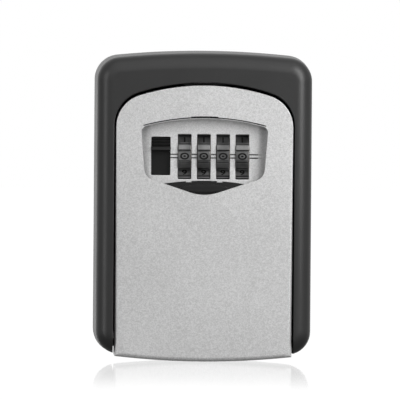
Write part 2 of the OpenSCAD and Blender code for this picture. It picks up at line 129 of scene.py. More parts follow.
# rails that guide the shutter
RAIL_WALL = (25.8, 27.3)
RAIL_FLANGE = (24.3, 27)
RAIL_STOP = (18, 27)
RAIL_Z = (shutter_low.z - 2.8, panel_low.z - 0.5)
RAIL_DEEP = 2.2
RAIL_STOP_DEEP = 2.1
FLANGE_T = 0.7

# window of the door, and the joint line that follows its top
WINDOW_TOP = 92.4
WINDOW_ARCH_R = 87.8
WINDOW_HALF = 24.2
WINDOW_CROWN_HALF = 21.6
WINDOW_HIP = (22.74, 70.1)
WINDOW_POINT = 62.6
WINDOW_HIP_R = 4.5
WINDOW_SHOULDER_R = 2.5
WINDOW_POINT_R = 17
WINDOW_LIP = 0.2
JOINT = {"inner": 0.3, "outer": 0.74, "half": WINDOW_HALF - 1, "depth": 1.6}
JOINT_NOTCH = {"inner": 0.28, "outer": 1.0, "half": 5.2, "depth": 1.7}

# number panel
PANEL_FRONT = door_low.y + 5
PANEL_T = 1.6
PANEL_BACK = PANEL_FRONT + PANEL_T
PANEL_HALF = 27.5
PANEL_FLAT = 20.1
PANEL_SLOPE = 4.1
SIDE_DROP = 1.3
TRAY_X = 25.8
PANEL_TOP = 91.4
PANEL_CREST = (24, 91)
EAR_X = 27.3
EAR_HALF = 2.4
AXLE_LUGS = ((-24.5, -22.5), (24.4, 26))
LUG_HALF = 3.6
LUG_REACH = 3.5
AXLE_HOLE_R = 1.52
SEAT_X = (-18.6, 21.9)
SEAT_HALF = 2.6
SEAT_BACK = -26.6
SEAT_T = 1.4
HOLE_RIM = 0.22
INDEX_X = (-13, 23.4)
INDEX_OFFSET = 0.65
INDEX_HALF = 0.24
INDEX_DEPTH = 1.2

# wheels
wheel_x = [(low.x + high.x) / 2 for low, high in wheel_boxes]
WHEEL_T = wheel_boxes[0][1].x - wheel_boxes[0][0].x
WHEEL_R = (wheel_boxes[0][1].z - wheel_boxes[0][0].z) / 2
WHEEL_Z = (wheel_boxes[0][1].z + wheel_boxes[0][0].z) / 2
WHEEL_Y = PANEL_FRONT - 1.5 + WHEEL_R
PAD_R = WHEEL_R - 0.3
GROOVE_R = WHEEL_R - 0.9
DIGITS = 10
STEP = 360 / DIGITS
RIDGE_HALF = 5
GROOVES = ((6.4, 8), (28, 29.6))
PAD = (9.2, 26.8)
WHEEL_BEVEL = 0.16
SLEEVE_BORE_R = 3.28
SPLINE_BORE_R = 5.2
WINDOW_W = 5.15
WHEEL_WINDOW = (69.35, 86.5)

# numbers on the wheels
NUMBER_H = 2.4
NUMBER_W = 3.0
NUMBER_STRETCH = 1.35
INK_PROUD = 0.03
INK_DEEP = 0.1
ZERO_RINGS = ((1.75, 1.36), (1.05, 0.76), (0.55, 0.34))

# slider
SLIDER_X = (slider_low.x + slider_high.x) / 2
SLIDER_W = 7.3
SLIDER_WINDOW = (70.8, 85.4)
THUMB_RIDGE = (SLIDER_WINDOW[1] - 5.2, SLIDER_WINDOW[1] - 3.7)
THUMB_RIBS = 3
RIVET_DX = 2.9
RIVET_HOLE_R = 1.25
RIVET_DROP = 1.4

# shutter
SHUTTER_ARCH_R = 100
PAD_DROP = 2.85
PAD_HALF = (9.2, 1.6)
NOTCH_X = 5.9
NOTCH_HALF = 1.05
NOTCH_DEPTH = 0.6


# ---------------------------------------------------------------- outlines

def arc(centre, radius, start, end, steps):
    """Points along an arc, with angles in degrees."""
    angles = [math.radians(start + (end - start) * i / steps) for i in range(steps + 1)]
    return [(centre[0] + radius * math.cos(a), centre[1] + radius * math.sin(a)) for a in angles]


def chained(*runs):
    """One closed outline from runs of points, without the doubled points where they meet."""
    outline = []
    for point in (p for run in runs for p in run):
        if not outline or math.dist(point, outline[-1]) > 0.01:
            outline.append(point)
    return outline if math.dist(outline[0], outline[-1]) > 0.01 else outline[:-1]


def arch(half, top, top_r, corner_r):
    """Right shoulder, crown and left shoulder of an arch."""
    corner_x = half - corner_r
    rise = math.sqrt((top_r - corner_r) ** 2 - corner_x ** 2)
    corner_z = top - top_r + rise
    a = math.degrees(math.atan2(rise, corner_x))
    return (
        arc((corner_x, corner_z), corner_r, 0, a, 12)
        + arc((0, top - top_r), top_r, a, 180 - a, 28)
        + arc((-corner_x, corner_z), corner_r, 180 - a, 180, 12)
    )


def rounding(a, b, c, radius, steps):
    """Arc that rounds the corner b between its neighbours a and c."""
    a, b, c = Vector(a), Vector(b), Vector(c)
    u, v = (a - b).normalized(), (c - b).normalized()
    half = u.angle(v) / 2
    centre = b + (u + v).normalized() * radius / math.sin(half)
    p = b + u * radius / math.tan(half) - centre
    q = b + v * radius / math.tan(half) - centre
    start = math.degrees(math.atan2(p.y, p.x))
    turn = math.degrees(math.atan2(p.x * q.y - p.y * q.x, p.dot(q)))
    return arc(centre, radius, start, start + turn, steps)


def grown(outline, distance):
    """The closed outline with every side moved outwards."""
    moved = []
    for i, here in enumerate(outline):
        before = Vector(here) - Vector(outline[i - 1])
        after = Vector(outline[(i + 1) % len(outline)]) - Vector(here)
        n1 = Vector((before.y, -before.x)).normalized()
        n2 = Vector((after.y, -after.x)).normalized()
        shift = (n1 + n2) * distance / (1 + n1.dot(n2))
        moved.append((here[0] + shift.x, here[1] + shift.y))
    return moved


def case_outline():
    """Surround seen from the front."""
    half, r = case_high.x, CASE_CORNER_R
    foot = case_low.z + r
    return chained(
        arch(half, case_high.z, CROWN_R, r),
        arc((r - half, foot), r, 180, 270, 10),
        arc((half - r, foot), r, 270, 360, 10),
    )


def door_outline():
    """Door seen from the front: an arch over a foot that bows downwards."""
    half = door_high.x
    swing = math.degrees(math.asin(half / DOOR_FOOT_R))
    return chained(
        arch(half, door_high.z, DOOR_ARCH_R, DOOR_CORNER_R),
        arc((0, DOOR_FOOT_R), DOOR_FOOT_R, 270 - swing, 270 + swing, 24),
    )


def opening_outline():
    """Opening of the surround: the door's arch with its gap, open at the foot."""
    half = door_high.x + SIDE_GAP
    crown = arch(half, door_high.z + TOP_GAP, DOOR_ARCH_R + TOP_GAP, DOOR_CORNER_R + SIDE_GAP)
    return chained(crown, [(-half, OPENING_FOOT), (half, OPENING_FOOT)])


def window_outline():
    """Arched top, leaning sides and a shallow rounded point at the bottom."""
    lift = WINDOW_ARCH_R - math.sqrt(WINDOW_ARCH_R ** 2 - WINDOW_HALF ** 2)
    shoulder = (WINDOW_HALF, WINDOW_TOP - lift)
    lean = math.atan2(WINDOW_HALF, WINDOW_ARCH_R - lift)
    along_arch = (shoulder[0] - 5 * math.cos(lean), shoulder[1] + 5 * math.sin(lean))
    point = (0, WINDOW_POINT)
    low_right = rounding(point, WINDOW_HIP, shoulder, WINDOW_HIP_R, 8)
    right = rounding(WINDOW_HIP, shoulder, along_arch, WINDOW_SHOULDER_R, 6)
    crown_a = math.degrees(math.acos(WINDOW_CROWN_HALF / WINDOW_ARCH_R))
    crown = arc((0, WINDOW_TOP - WINDOW_ARCH_R), WINDOW_ARCH_R, crown_a, 180 - crown_a, 20)
    keel = rounding((-WINDOW_HIP[0], WINDOW_HIP[1]), point, WINDOW_HIP, WINDOW_POINT_R, 10)
    left = [[(-x, z) for x, z in reversed(run)] for run in (right, low_right)]
    return chained(low_right, right, crown, *left, keel)


# ---------------------------------------------------------------- solids

def solid(name, points, faces):
    """Mesh object from points in millimetres, with its faces turned outwards."""
    mesh = bpy.data.meshes.new(name)
    mesh.from_pydata([spot(*p) for p in points], [], faces)
    work = bmesh.new()
    work.from_mesh(mesh)
    bmesh.ops.recalc_face_normals(work, faces=work.faces)
    work.to_mesh(mesh)
    work.free()
    piece = bpy.data.objects.new(name, mesh)
    bpy.context.scene.collection.objects.link(piece)
    return piece


def loft(name, rings):
    """Closed solid through rings that have equally many points."""
    count = len(rings[0])
    last = (len(rings) - 1) * count
    faces = [list(range(count)), list(range(last, last + count))]
    for r in range(len(rings) - 1):
        for i in range(count):
            j = (i + 1) % count
            faces.append([r * count + i, r * count + j, (r + 1) * count + j, (r + 1) * count + i])
    return solid(name, [p for ring in rings for p in ring], faces)


def slab(outline, front, back, grow=0):
    """Front-view outline as a solid between two depths."""
    flat = grown(outline, grow)
    return loft("slab", [[(x, y, z) for x, z in flat] for y in (front, back)])


def block(x, y, z):
    """Box between two corners given per axis."""
    outline = [(x[1], z[0]), (x[1], z[1]), (x[0], z[1]), (x[0], z[0])]
    return slab(outline, *y)


def on_side(side, x):
    """Range of x given for the right side, on that side or mirrored to the left."""
    return sorted(side * value for value in x)


def pillow(outline, front, back, edge, steps=4):
    """Slab whose front edge is rounded by the radius edge."""
    rings = [[(x, back, z) for x, z in outline]]
    for i in range(steps + 1):
        a = math.radians(90 * i / steps)
        inset = edge * (1 - math.cos(a))
        depth = front + edge * (1 - math.sin(a))
        rings.append([(x, depth, z) for x, z in grown(outline, -inset)])
    return loft("pillow", rings)


def lipped_hole(outline, front, back, lip, steps=3):
    """Cutter for a hole whose front rim comes out rounded by the radius lip."""
    rings = [[(x, front - 1, z) for x, z in grown(outline, lip)]]
    for i in range(steps + 1):
        a = math.radians(90 * i / steps)
        reach = lip * (1 - math.sin(a))
        depth = front + lip * (1 - math.cos(a))
        rings.append([(x, depth, z) for x, z in grown(outline, reach)])
    rings.append([(x, back, z) for x, z in outline])
    return loft("hole", rings)


def frame_of(x, z, corner=0.35):
    """Rectangle with slightly rounded corners as an outline."""
    x0, x1 = x
    z0, z1 = z
    return chained(
        arc((x1 - corner, z0 + corner), corner, 270, 360, 4),
        arc((x1 - corner, z1 - corner), corner, 0, 90, 4),
        arc((x0 + corner, z1 - corner), corner, 90, 180, 4),
        arc((x0 + corner, z0 + corner), corner, 180, 270, 4),
    )


def pin_y(y, radius, x, z, sides=32):
    """Round pin along Y."""
    return slab(arc((x, z), radius, 0, 360 - 360 / sides, sides - 1), *y)


def bar_x(name, outline, x):
    """Outline in the YZ plane as a solid along X."""
    return loft(name, [[(across, y, z) for y, z in outline] for across in x])


def pin_x(x, radius, y, z, sides=48):
    """Round pin along X."""
    return bar_x("pin", arc((y, z), radius, 0, 360 - 360 / sides, sides - 1), x)


def evaluated(piece):
    """The piece with its modifiers applied to its mesh."""
    graph = bpy.context.evaluated_depsgraph_get()
    mesh = bpy.data.meshes.new_from_object(piece.evaluated_get(graph))
    piece.modifiers.clear()
    piece.data = mesh
    return piece


def combine(piece, tools, operation):
    """Boolean of the piece with each tool in turn."""
    for tool in tools:
        step = piece.modifiers.new("combine", "BOOLEAN")
        step.operation = operation
        step.solver = "EXACT"
        step.object = tool
        evaluated(piece)
        bpy.data.objects.remove(tool)
    return piece


def carved(piece, *tools):
    return combine(piece, tools, "DIFFERENCE")


def welded(piece, *others):
    return combine(piece, others, "UNION")


def softened(piece, width, segments=2, angle=32):
    """Bevels the edges that are sharper than the angle."""
    bevel = piece.modifiers.new("bevel", "BEVEL")
    bevel.width = width * MM
    bevel.segments = segments
    bevel.limit_method = "ANGLE"
    bevel.angle_limit = math.radians(angle)
    bevel.use_clamp_overlap = True
    return evaluated(piece)


def finished(piece, name, body, nodes, finish, angle=30):
    """Names the piece, shades it, gives it its finish and puts it on its body."""
    piece.data.shade_smooth()
    piece.data.set_sharp_from_angle(angle=math.radians(angle))
    weighted = piece.modifiers.new("weighted", "WEIGHTED_NORMAL")
    weighted.keep_sharp = True
    weighted.weight = 100
    evaluated(piece)
    piece.name = name
    piece.data.name = name
    piece.data.materials.clear()
    piece.data.materials.append(finish)
    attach(piece, body)
    if nodes:
        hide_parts(*nodes)
    return piece


# ---------------------------------------------------------------- shader arithmetic

class Wire:
    """Output socket of a finish that takes part in plain arithmetic."""

    def __init__(self, finish, socket):
        self.finish = finish
        self.socket = socket

    def math(self, operation, first, second):
        return self.finish.node("Math", {"operation": operation}, {0: first, 1: second})

    def __add__(self, other):
        return self.math("ADD", self, other)

    def __radd__(self, other):
        return self.math("ADD", other, self)

    def __sub__(self, other):
        return self.math("SUBTRACT", self, other)

    def __rsub__(self, other):
        return self.math("SUBTRACT", other, self)

    def __mul__(self, other):
        return self.math("MULTIPLY", self, other)

    def __rmul__(self, other):
        return self.math("MULTIPLY", other, self)

class Finish:
    """One material and the method that makes its nodes."""

    def __init__(self, name):
        self.material = bpy.data.materials.new(name)
        self.material.use_nodes = True
        self.tree = self.material.node_tree
        self.tree.nodes.clear()
        self.place = self.node("TexCoord", out="Object")

    def node(self, kind, settings=None, sockets=None, out=0):
        """Any node from its type, its settings and the values or links of its sockets."""
        made = self.tree.nodes.new("ShaderNode" + kind)
        for key, value in (settings or {}).items():
            setattr(made, key, value)
        for key, value in (sockets or {}).items():
            if isinstance(value, Wire):
                self.tree.links.new(value.socket, made.inputs[key])
            else:
                made.inputs[key].default_value = value
        return Wire(self, made.outputs[out])

    def noise(self, size_mm, detail=2, roughness=0.5, stretch=(1, 1, 1)):
        """Soft noise whose features are about size_mm across."""
        place = self.node("Mapping", {}, {"Vector": self.place, "Scale": stretch})
        return self.node("TexNoise", {}, {
            "Vector": place, "Scale": 1 / (size_mm * MM), "Detail": detail, "Roughness": roughness,
        })

    def cells(self, size_mm):
        """Random value per small cell, as in metal flakes."""
        spots = self.node("TexVoronoi", {}, {"Vector": self.place, "Scale": 1 / (size_mm * MM)}, out="Color")
        return self.node("SeparateColor", {}, {0: spots})

    def between(self, low, high, value):
        """Value moved from 0-1 to low-high."""
        return self.node("MapRange", {}, {"Value": value, "To Min": low, "To Max": high})

    def band(self, value, start, end):
        """0 below start, 1 above end, smooth between."""
        return self.node("MapRange", {"interpolation_type": "SMOOTHSTEP"},
                         {"Value": value, "From Min": start, "From Max": end})

    def blend(self, dark, light, mask):
        """The first colour where the mask is 0 and the second where it is 1."""
        return self.node("Mix", {"data_type": "RGBA"}, {0: mask, 6: dark, 7: light}, out=2)

    def bump(self, height, depth_mm):
        """Relief as deep as depth_mm."""
        return self.node("Bump", {}, {"Height": height, "Distance": depth_mm * MM})

    def shade(self, **sockets):
        """Principled surface from its sockets; gives back the material."""
        names = {key.replace("_", " "): value for key, value in sockets.items()}
        surface = self.node("BsdfPrincipled", {}, names)
        self.plug(surface)
        return self.material

    def plug(self, surface):
        """Connects a surface to the material's output."""
        output = self.tree.nodes.new("ShaderNodeOutputMaterial")
        self.tree.links.new(surface.socket, output.inputs["Surface"])


def grey(value, warmth=0.0):
    """Linear grey with a touch of warmth."""
    return (value * (1 + warmth), value, value * (1 - warmth), 1)


def inside(f, depths, half_x, heights, strength):
    """Painted shade: strength in the cuts between two depths, within half_x of the middle and between two
    heights.
    """
    across, depth, height = (f.node("SeparateXYZ", {}, {0: f.place}, out=axis) for axis in "XYZ")
    offset = f.node("Math", {"operation": "ABSOLUTE"}, {0: across})
    step = 0.15 * MM
    low, high = [h * MM + FOOT for h in heights]
    deep = f.band(depth, depths[0] * MM, depths[0] * MM + step)
    deep = deep * (1 - f.band(depth, depths[1] * MM - step, depths[1] * MM))
    tall = f.band(height, low - step, low) * (1 - f.band(height, high, high + step))
    return strength * deep * tall * (1 - f.band(offset, half_x * MM, half_x * MM + step))


def flake_paint(name, dark, light, painted_shade_cuts, roughness=0.42, metallic=0.35):
    """Silver paint: metal flakes under a satin coat, with faint clouding, and painted shade that darkens its
    fine cuts to near black.
    """
    f = Finish(name)
    flakes = f.cells(0.3)
    grain = f.noise(0.7, detail=3, roughness=0.7)
    clouds = f.noise(28, detail=2)
    tone = f.band(grain * 0.55 + flakes * 0.27 + clouds * 0.18, 0.3, 0.7)
    # painted shade: the masked cuts turn near black and lose their metal, standing in for the shade that
    # falls in them
    cut_shade = inside(f, *painted_shade_cuts)
    return f.shade(
        Base_Color=f.blend(f.blend(grey(dark), grey(light), tone), grey(0.006), cut_shade),
        Roughness=f.between(roughness - 0.06, roughness + 0.08, grain),
        Metallic=metallic * (1 - cut_shade),
        Normal=f.bump(grain + flakes * 0.4, 0.012),
    )


def moulded_plastic(name, tone, roughness, grain_mm=0.5, depth_mm=0.01, shine=0.5):
    """Black plastic from a fine-etched mould, with faint rub marks."""
    f = Finish(name)
    etch = f.noise(grain_mm, detail=3, roughness=0.6)
    clouds = f.noise(14, detail=4, roughness=0.6)
    rubs = f.band(f.noise(3.5, detail=5, roughness=0.7, stretch=(1, 1, 0.25)), 0.58, 0.75)
    colour = f.blend(grey(tone), grey(tone * 1.7), f.between(0, 1, clouds) * 0.5 + rubs * 0.3)
    return f.shade(
        Base_Color=colour,
        Roughness=f.between(roughness - 0.05, roughness + 0.07, clouds) - rubs * 0.04,
        Specular_IOR_Level=shine,
        Normal=f.bump(etch, depth_mm),
    )


def powder_coat(name, tone, roughness=0.5):
    """Powder coat with its orange-peel texture."""
    f = Finish(name)
    peel = f.noise(1.3, detail=1)
    dust = f.noise(9, detail=5, roughness=0.65)
    return f.shade(
        Base_Color=f.blend(grey(tone * 0.8), grey(tone * 1.3), dust),
        Roughness=f.between(roughness - 0.06, roughness + 0.1, dust),
        Normal=f.bump(peel, 0.03),
    )


def plated_steel(name, dark, light, roughness, warmth=0.0, patch_mm=1.6):
    """Plated sheet: soft patches of tone, fine rolling lines and small rub marks."""
    f = Finish(name)
    patches = f.noise(patch_mm, detail=4, roughness=0.6)
    lines = f.noise(0.35, detail=2, stretch=(1, 1, 0.05))
    return f.shade(
        Base_Color=f.blend(grey(dark, warmth), grey(light, warmth), patches * 0.7 + lines * 0.3),
        Roughness=f.between(roughness - 0.08, roughness + 0.1, patches),
        Metallic=1.0,
        Normal=f.bump(lines, 0.004),
    )


def turned_metal(name, dark, light, roughness, warmth=0.0):
    """Turned or cast metal with rings of fine tool marks across X."""
    f = Finish(name)
    rings = f.noise(0.22, detail=2, stretch=(1, 0.06, 0.06))
    stains = f.noise(2.4, detail=4, roughness=0.65)
    wear = f.band(f.noise(6.5, detail=1), 0.35, 0.65)
    tone = stains * 0.35 + rings * 0.3 + wear * 0.35
    return f.shade(
        Base_Color=f.blend(grey(dark, warmth), grey(light, warmth), tone),
        Roughness=f.between(roughness - 0.07, roughness + 0.1, stains),
        Metallic=1.0,
        Normal=f.bump(rings, 0.005),
    )


def filled_ink(name):
    """Black paint wiped into the numbers."""
    f = Finish(name)
    grain = f.noise(0.4, detail=3)
    return f.shade(
        Base_Color=f.blend(grey(0.003), grey(0.008), grain),
        Roughness=f.between(0.4, 0.6, grain),
        Specular_IOR_Level=0.15,
        Normal=f.bump(grain, 0.004),
    )


# cuts darkened with painted shade: depths, half width, heights and strength
# painted shadow in the joint line and the top wall of the door window
WINDOW_TOP_SHADE = ((door_low.y + 0.1, SKIN_BACK), 26, (88.5, 94), 1.0)
# painted shade in the index grooves, and on the wheel-window walls at the same height
INDEX_GROOVE_SHADE = ((PANEL_FRONT + 0.1, PANEL_BACK - 0.1), PANEL_FLAT + 0.3, (WHEEL_Z - 1, WHEEL_Z + 1), 0.7)

surround_plastic = moulded_plastic("surround plastic", tone=0.014, roughness=0.4)
door_paint = flake_paint("door silver paint", dark=0.5, light=0.68, painted_shade_cuts=WINDOW_TOP_SHADE)
panel_paint = flake_paint("panel silver paint", dark=0.58, light=0.73, roughness=0.36, painted_shade_cuts=INDEX_GROOVE_SHADE)
wheel_plating = turned_metal("wheel plating", dark=0.06, light=0.29, roughness=0.3)
slider_plastic = moulded_plastic("slider plastic", tone=0.005, roughness=0.4, grain_mm=0.3, shine=0.25)
shutter_plastic = moulded_plastic("shutter plastic", tone=0.008, roughness=0.4, grain_mm=0.3, shine=0.3)
# dark finish for the latch plate, which is also painted shade for its tongue seen in the gap above the door
dark_steel_and_gap_shade = powder_coat("dark steel and painted gap shade", tone=0.02)
housing_coat = powder_coat("housing powder coat", tone=0.045)
cover_coat = powder_coat("cover coat", tone=0.06, roughness=0.45)
zinc = plated_steel("zinc plating", dark=0.5, light=0.72, roughness=0.34, warmth=0.02)
bright = plated_steel("bright steel", dark=0.6, light=0.75, roughness=0.22, patch_mm=3)
spring_wire = plated_steel("spring steel", dark=0.3, light=0.45, roughness=0.3, warmth=-0.01, patch_mm=0.8)
brass = turned_metal("hub brass", dark=0.42, light=0.6, roughness=0.3, warmth=0.35)
number_ink = filled_ink("number ink")


# ---------------------------------------------------------------- surround

def make_surround():
    """Drafted shell with a large rounded front edge, open below and around the door."""
    outline = case_outline()
    rings = [[(x, case_high.y, z) for x, z in outline]]
    steps = 14
    for i in range(steps + 1):
        a = math.radians(90 * i / steps)
        inset = DRAFT + EDGE_R * (1 - math.cos(a))
        depth = case_low.y + EDGE_R * (1 - math.sin(a))
        rings.append([(x, depth, z) for x, z in grown(outline, -inset)])
    shell = loft("surround", rings)
    carved(
        shell,
        lipped_hole(opening_outline(), case_low.y, 1, LIP),
        slab(outline, case_low.y + SURROUND_FRONT, 1, -SURROUND_WALL),
    )
    return finished(shell, "surround", "housing", ["bumper_cover"], surround_plastic)


# ---------------------------------------------------------------- door

def foot_edge_radius(z):
    """Radius of the door's front edge at a height: small at the sides, large at the foot."""
    high, low = FOOT_ZONE
    share = min(max((high - z) / (high - low), 0), 1)
    return SIDE_EDGE + (FOOT_EDGE - SIDE_EDGE) * share


def door_tray():
    """Door skin with its rounded edges and the walls behind it."""
    outline = door_outline()
    inner = grown(outline, -1)
    steps = 6
    rings = [[(x, door_high.y, z) for x, z in outline]]
    for i in range(steps + 1):
        a = math.radians(90 * i / steps)
        ring = []
        for (x, z), (ux, uz) in zip(outline, inner):
            r = foot_edge_radius(z)
            inset = r * (1 - math.cos(a))
            ring.append((x + (ux - x) * inset, door_low.y + r * (1 - math.sin(a)), z + (uz - z) * inset))
        rings.append(ring)
    tray = loft("door", rings)
    return carved(
        tray,
        slab(outline, SKIN_BACK, 1, -DOOR_WALL),
        block((-40, 40), (WALL_BACK, 1), (FOOT_WALL, 120)),
    )


def window_joint(inner, outer, half, depth):
    """Cutter for the fine joint line that follows the top of the window."""
    radius = WINDOW_ARCH_R
    reach = math.degrees(math.asin(half / radius))
    centre = (0, WINDOW_TOP - radius)
    line = arc(centre, radius + outer, 90 - reach, 90 + reach, 24)
    line += arc(centre, radius + inner, 90 + reach, 90 - reach, 24)
    return slab(line, door_low.y - 1, door_low.y + depth)


def make_door():
    """Door with its hinge barrels, posts, shutter rails, window and latch slot."""
    tray = door_tray()
    half = door_high.x
    root = SKIN_BACK - OVERLAP
    posts = [(x, z, PANEL_POST_R, PANEL_FRONT) for x, z in PANEL_POSTS]
    posts += [(x, z, COVER_POST_R, cover_high.y - COVER_T) for x, z in COVER_POSTS]
    for side in SIDES:
        barrel = on_side(side, [half - inset for inset in BARREL_X])
        welded(tray, pin_x(barrel, BARREL_R, pin_mid.y, pin_mid.z))
        for x, z, r, back in posts:
            welded(tray, pin_y((root, back), r, side * x, z))
        rail_back = SKIN_BACK + RAIL_DEEP
        welded(tray, block(on_side(side, RAIL_WALL), (root, rail_back), RAIL_Z))
        welded(tray, block(on_side(side, RAIL_FLANGE), (rail_back - FLANGE_T, rail_back), RAIL_Z))
        stop_z = (RAIL_Z[0], shutter_low.z - 0.3)
        welded(tray, block(on_side(side, RAIL_STOP), (root, SKIN_BACK + RAIL_STOP_DEEP), stop_z))
    latch_slot_z = (door_high.z - 6, door_high.z + 2)
    carved(
        tray,
        lipped_hole(window_outline(), door_low.y, SKIN_BACK + 0.5, WINDOW_LIP),
        window_joint(**JOINT),
        window_joint(**JOINT_NOTCH),
        block((-LATCH_SLOT_HALF, LATCH_SLOT_HALF), LATCH_SLOT_Y, latch_slot_z),
        pin_x((-60, 60), PIN_HOLE_R, pin_mid.y, pin_mid.z),
    )
    return finished(tray, "door", "door", ["door_shell"], door_paint)


# ---------------------------------------------------------------- number panel

def make_panel():
    """Panel behind the window: sides that fall back, five windows, index lines and the axle lugs."""
    steps = (0, 0.2, 0.4, 0.6, 0.8, 1)
    right = [(PANEL_FLAT + PANEL_SLOPE * t, PANEL_FRONT + SIDE_DROP * t ** 1.5) for t in steps]
    right += [(TRAY_X, PANEL_FRONT + SIDE_DROP), (TRAY_X, SKIN_BACK), (PANEL_HALF, SKIN_BACK)]
    profile = right + [(PANEL_HALF, PANEL_BACK), (-PANEL_HALF, PANEL_BACK)]
    profile += [(-x, y) for x, y in reversed(right)]
    plate = loft("panel", [[(x, y, z) for x, y in profile] for z in (panel_low.z, PANEL_TOP)])
    crest_half, crest_foot = PANEL_CREST
    welded(plate, block((-crest_half, crest_half), (PANEL_FRONT, PANEL_BACK), (crest_foot, panel_high.z)))
    for side in SIDES:
        ear = on_side(side, (EAR_X, panel_high.x))
        for post in PANEL_POSTS:
            ear_z = (post[1] - EAR_HALF, post[1] + EAR_HALF)
            welded(plate, block(ear, (PANEL_FRONT, PANEL_BACK), ear_z))
    root = PANEL_BACK - OVERLAP
    for lug in AXLE_LUGS:
        welded(plate, block(lug, (root, WHEEL_Y + LUG_REACH), (WHEEL_Z - LUG_HALF, WHEEL_Z + LUG_HALF)))
    for x in SEAT_X:
        seat_z = (panel_low.z, panel_low.z + SEAT_T)
        welded(plate, block((x - SEAT_HALF, x + SEAT_HALF), (root, SEAT_BACK), seat_z))
    windows = [(x, WINDOW_W / 2, WHEEL_WINDOW) for x in wheel_x] + [(SLIDER_X, SLIDER_W / 2, SLIDER_WINDOW)]
    for x, half, z in windows:
        carved(plate, lipped_hole(frame_of((x - half, x + half), z), PANEL_FRONT, PANEL_BACK + 1, HOLE_RIM))
    for z in (WHEEL_Z - INDEX_OFFSET, WHEEL_Z + INDEX_OFFSET):
        depth = (PANEL_FRONT - 3, PANEL_FRONT + INDEX_DEPTH)
        carved(plate, block(INDEX_X, depth, (z - INDEX_HALF, z + INDEX_HALF)))
    carved(plate, pin_x((-30, 30), AXLE_HOLE_R, WHEEL_Y, WHEEL_Z))
    return finished(plate, "number_panel", "door", ["dial_panel"], panel_paint)


# ---------------------------------------------------------------- wheels

def wheel_profile():
    """Ridge, groove and flat number pad, ten times round the wheel."""
    before, after = GROOVES
    profile = []
    for k in range(DIGITS):
        a = STEP / 2 + k * STEP
        profile += arc((0, 0), WHEEL_R, a - RIDGE_HALF, a + RIDGE_HALF, 4)
        for radius, (start, end) in ((GROOVE_R, before), (PAD_R, PAD), (GROOVE_R, after)):
            profile += arc((0, 0), radius, a + start, a + end, 1)
    return profile


def make_wheel(i):
    """One number wheel with its bores for the hub."""
    x = wheel_x[i]
    half = WHEEL_T / 2
    outline = [(WHEEL_Y + u, WHEEL_Z + v) for u, v in wheel_profile()]
    wheel = bar_x("wheel", outline, (x - half, x + half))
    softened(wheel, WHEEL_BEVEL, segments=2, angle=25)
    carved(
        wheel,
        pin_x((x - half - 1, x + half + 1), SLEEVE_BORE_R, WHEEL_Y, WHEEL_Z),
        pin_x((x + half - 1, x + half + 1), SPLINE_BORE_R, WHEEL_Y, WHEEL_Z),
    )
    name = f"wheel_{i + 1}"
    return finished(wheel, name, f"dial_{i + 1}", [f"dial_{name}"], wheel_plating)


def ellipse(half_x, half_z, steps=28):
    """Points round an ellipse."""
    turns = [2 * math.pi * k / steps for k in range(steps)]
    return [(half_x * math.cos(t), half_z * math.sin(t)) for t in turns]


def zero_glyph():
    """Wide zero with a dot in it, as (x, z, raised) points and faces."""
    outer, inner, dot = (ellipse(*half) for half in ZERO_RINGS)
    count = len(outer)
    points = [(x, z, lift) for lift in (0, 1) for run in (outer, inner, dot) for x, z in run]
    faces = []
    for i in range(count):
        j = (i + 1) % count
        for base in (0, 3 * count):
            faces.append([base + i, base + j, base + count + j, base + count + i])
        for run in range(3):
            low, high = run * count, (run + 3) * count
            faces.append([low + i, low + j, high + j, high + i])
    faces += [[base + 2 * count + i for i in range(count)] for base in (0, 3 * count)]
    return points, faces


def glyph(digit):
    """One number, centred, as (x, z, raised) points in millimetres and faces."""
    if digit == 0:
        return zero_glyph()
    curve = bpy.data.curves.new("number", "FONT")
    curve.body = str(digit)
    curve.extrude = 0.05
    curve.offset = 0.022
    curve.resolution_u = 4
    letter = bpy.data.objects.new("number", curve)
    bpy.context.scene.collection.objects.link(letter)
    graph = bpy.context.evaluated_depsgraph_get()
    mesh = bpy.data.meshes.new_from_object(letter.evaluated_get(graph))
    places = [v.co.copy() for v in mesh.vertices]
    faces = [list(p.vertices) for p in mesh.polygons]
    bpy.data.objects.remove(letter)
    low = [min(p[k] for p in places) for k in range(2)]
    high = [max(p[k] for p in places) for k in range(2)]
    scale_z = NUMBER_H / (high[1] - low[1])
    scale_x = min(NUMBER_W / (high[0] - low[0]), scale_z * NUMBER_STRETCH)
    points = [((p.x - (low[0] + high[0]) / 2) * scale_x, (p.y - (low[1] + high[1]) / 2) * scale_z,
               1 if p.z > 0 else 0) for p in places]
    return points, faces


def make_numerals(i, glyphs):
    """The ten painted numbers of one wheel, joined in one mesh that turns with it."""
    pad = PAD_R * math.cos(math.radians((PAD[1] - PAD[0]) / 2))
    points, faces = [], []
    for digit, (flat, sides) in enumerate(glyphs):
        theta = math.radians(180 - STEP * digit)
        first = len(points)
        for across, up, raised in flat:
            out = pad + (INK_PROUD if raised else -INK_DEEP)
            points.append((
                wheel_x[i] + across,
                WHEEL_Y + out * math.cos(theta) + up * math.sin(theta),
                WHEEL_Z + out * math.sin(theta) - up * math.cos(theta),
            ))
        faces += [[first + v for v in side] for side in sides]
    ink = solid("numerals", points, faces)
    return finished(ink, f"wheel_{i + 1}_numbers", f"dial_{i + 1}", [], number_ink)


# ---------------------------------------------------------------- slider and shutter

def thumb_profile(front):
    """Side view of the finger ridge and the ribbed slope above it."""
    low, high = THUMB_RIDGE
    proud = slider_low.y
    profile = [(front, low), (proud + 0.3, low), (proud, low + 0.3), (proud + 0.45, high - 0.1)]
    rise = (SLIDER_WINDOW[1] - 0.3 - high) / THUMB_RIBS
    for k in range(THUMB_RIBS):
        y = proud + 1.5 + 0.25 * k
        steps = ((0.3, 0.1), (0.3, 0.35), (0, 0.5), (-0.1, 0.95))
        profile += [(y + back, high + rise * k + rise * up) for back, up in steps]
    return profile + [(front, SLIDER_WINDOW[1] - 0.2)]


